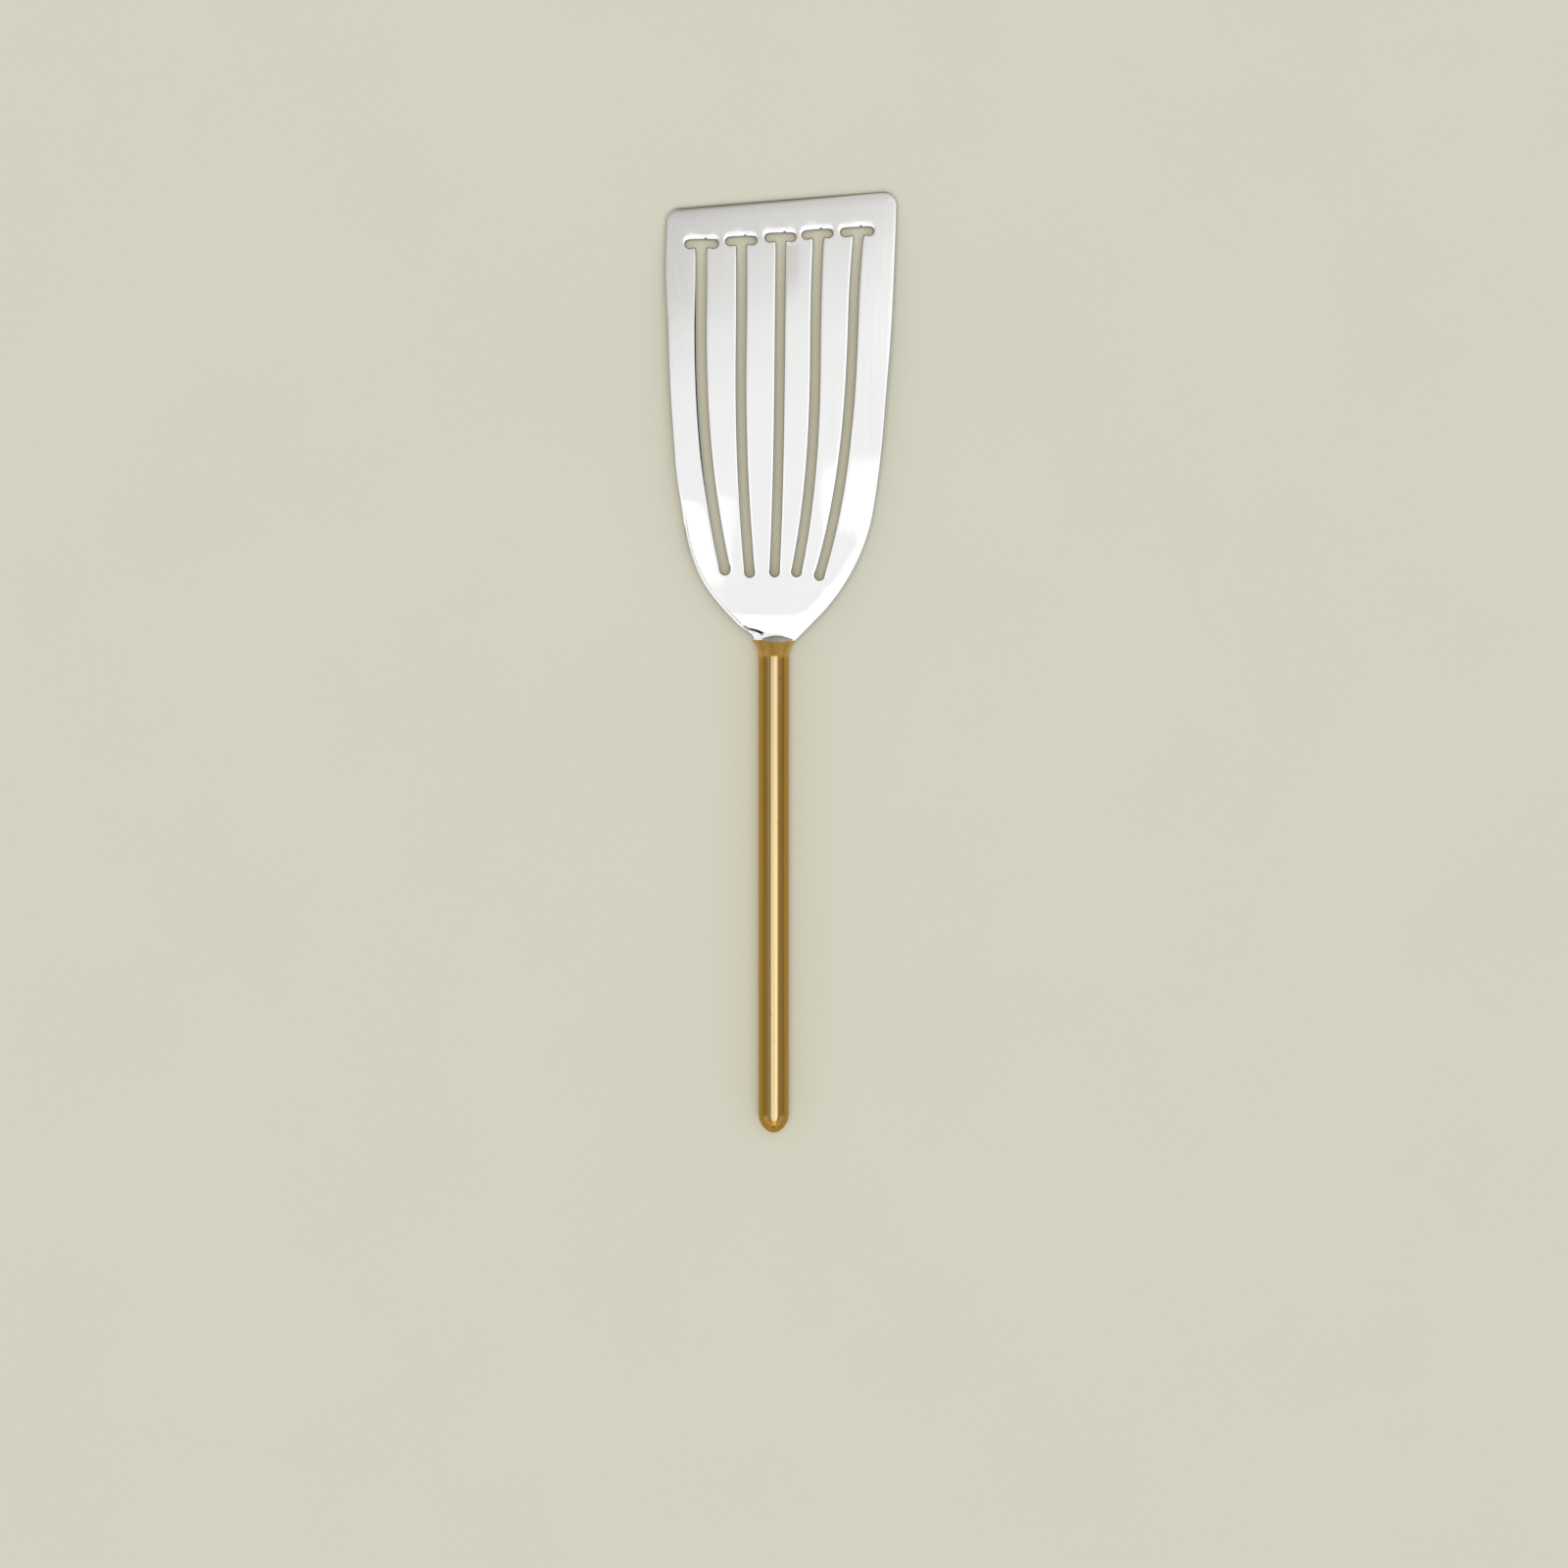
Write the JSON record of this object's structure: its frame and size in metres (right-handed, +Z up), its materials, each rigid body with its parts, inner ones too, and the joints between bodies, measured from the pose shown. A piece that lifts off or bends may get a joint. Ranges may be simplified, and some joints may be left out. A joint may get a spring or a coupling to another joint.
{
  "type": "fish spatula",
  "caption": "Slotted fish spatula: a thin steel blade with long curved slots and a slanted front edge, brazed to a plain round brass handle.",
  "frame": {"origin": "on the table, under the middle of the tool's bounding box", "axes": "+X to the right across the blade, +Y along the handle towards the blade's front edge, +Z up from the table"},
  "size_m": [0.0766, 0.3106, 0.01],
  "materials": {
    "polished_steel": "polished, with fine handling marks",
    "lacquered_brass": "polished and clear lacquered",
    "silver_braze": "dull silver-grey filler metal"
  },
  "bodies": {
    "root": {"blade": "polished_steel", "handle": "lacquered_brass", "braze_film": "silver_braze", "braze_fillet_top": "silver_braze", "braze_fillet_under": "silver_braze"}
  },
  "joints": []
}
